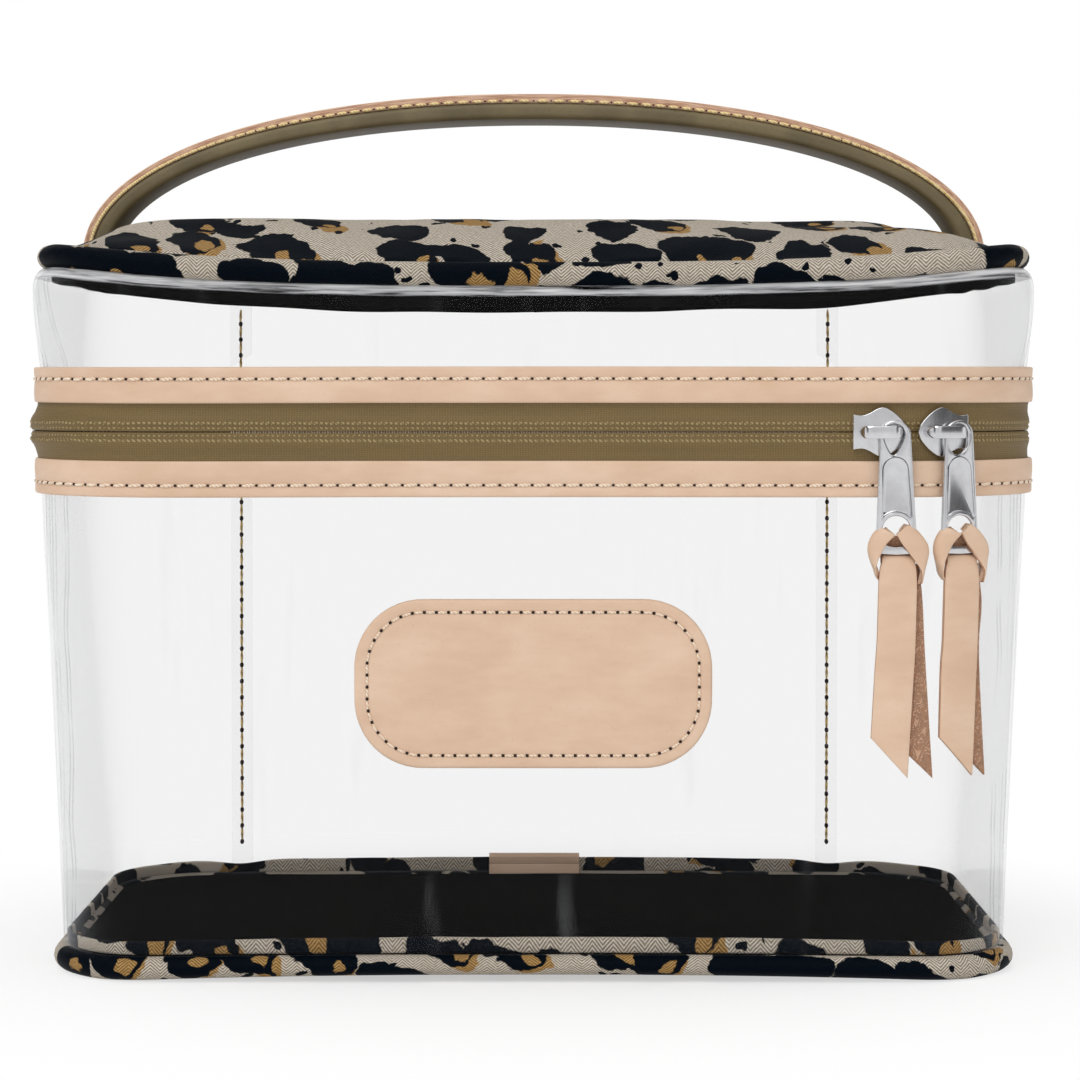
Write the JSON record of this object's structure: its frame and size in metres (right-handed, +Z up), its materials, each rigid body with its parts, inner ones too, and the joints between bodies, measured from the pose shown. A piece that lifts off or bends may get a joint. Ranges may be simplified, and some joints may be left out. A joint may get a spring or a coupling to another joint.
{
  "type": "makeup train case",
  "caption": "Clear-walled zipped makeup train case with a padded printed lid and base, leather trims, a blank patch, a carry handle and zip sliders with leather tassels.",
  "frame": {"origin": "middle of the flat underside", "axes": "+X to the right seen from the front, -Y out of the front, +Z up"},
  "size_m": [0.2648, 0.1501, 0.2319],
  "materials": {
    "printed_fabric": "woven coated fabric with a dark and ochre spotted print",
    "padding_foam": "soft foam, hidden",
    "stiff_board": "stiff fibre board, hidden",
    "black_lining": "matte black lining",
    "piping_cord": "plain cord, hidden",
    "natural_leather": "smooth natural vegetable-tanned leather with pale stitching",
    "clear_vinyl": "clear glossy flexible sheet",
    "zip_tape": "olive woven zip tape",
    "zip_coil": "olive nylon coil",
    "handle_wrap": "olive coated wrap",
    "bright_nickel": "bright nickel plating"
  },
  "bodies": {
    "base": {"base_panel": "printed_fabric", "base_padding": "padding_foam", "base_board": "stiff_board", "floor_lining": "black_lining", "base_piping": "printed_fabric", "base_piping_core": "piping_cord", "base_binding": "printed_fabric", "base_binding_tab": "natural_leather", "lower_wall": "clear_vinyl", "lower_back_panel": "clear_vinyl", "lower_trim": "natural_leather", "lower_zip_tape": "zip_tape", "lower_zip_coil": "zip_coil", "name_patch": "natural_leather"},
    "lid": {"upper_wall": "clear_vinyl", "upper_back_panel": "clear_vinyl", "upper_trim": "natural_leather", "upper_zip_tape": "zip_tape", "upper_zip_coil": "zip_coil", "lid_piping": "printed_fabric", "lid_piping_core": "piping_cord", "lid_panel": "printed_fabric", "lid_padding": "padding_foam", "lid_board": "stiff_board", "lid_lining": "black_lining", "lid_binding": "black_lining", "handle_grip": "handle_wrap", "handle_strap": "natural_leather"},
    "slider_left": {"slider_left": "bright_nickel"},
    "slider_right": {"slider_right": "bright_nickel"},
    "pull_left": {"pull_left": "bright_nickel"},
    "pull_right": {"pull_right": "bright_nickel"},
    "tassel_left": {"tassel_left": "natural_leather"},
    "tassel_right": {"tassel_right": "natural_leather"}
  },
  "joints": [
    {"name": "lid_fold", "type": "hinge", "parent": "base", "child": "lid", "pos_m": [0, 0.0726, 0.141], "axis": [-1, 0, 0], "range_deg": [0, 120]},
    {"name": "left_slide", "type": "slide", "parent": "base", "child": "slider_left", "axis": [-1, 0, 0], "range_m": [0, 0.1756]},
    {"name": "right_corner_turn", "type": "hinge", "parent": "base", "child": "slider_right", "pos_m": [0.0896, -0.0298, 0.141], "axis": [0, 0, 1], "range_deg": [0, 70]},
    {"name": "left_tab_swing", "type": "hinge", "parent": "slider_left", "child": "pull_left", "pos_m": [0.0921, -0.0745, 0.141], "axis": [0, 1, 0], "range_deg": [0, 38]},
    {"name": "right_tab_swing", "type": "hinge", "parent": "slider_right", "child": "pull_right", "pos_m": [0.1085, -0.07053, 0.141], "axis": [0.3322, -0.9432, 0], "range_deg": [0, 90]},
    {"name": "left_tassel_swing", "type": "hinge", "parent": "pull_left", "child": "tassel_left", "pos_m": [0.0913, -0.0745, 0.1106], "axis": [-1, 0, 0], "range_deg": [0, 50]},
    {"name": "right_tassel_swing", "type": "hinge", "parent": "pull_right", "child": "tassel_right", "pos_m": [0.10775, -0.0708, 0.1106], "axis": [-0.9432, -0.3322, 0], "range_deg": [0, 50]}
  ]
}
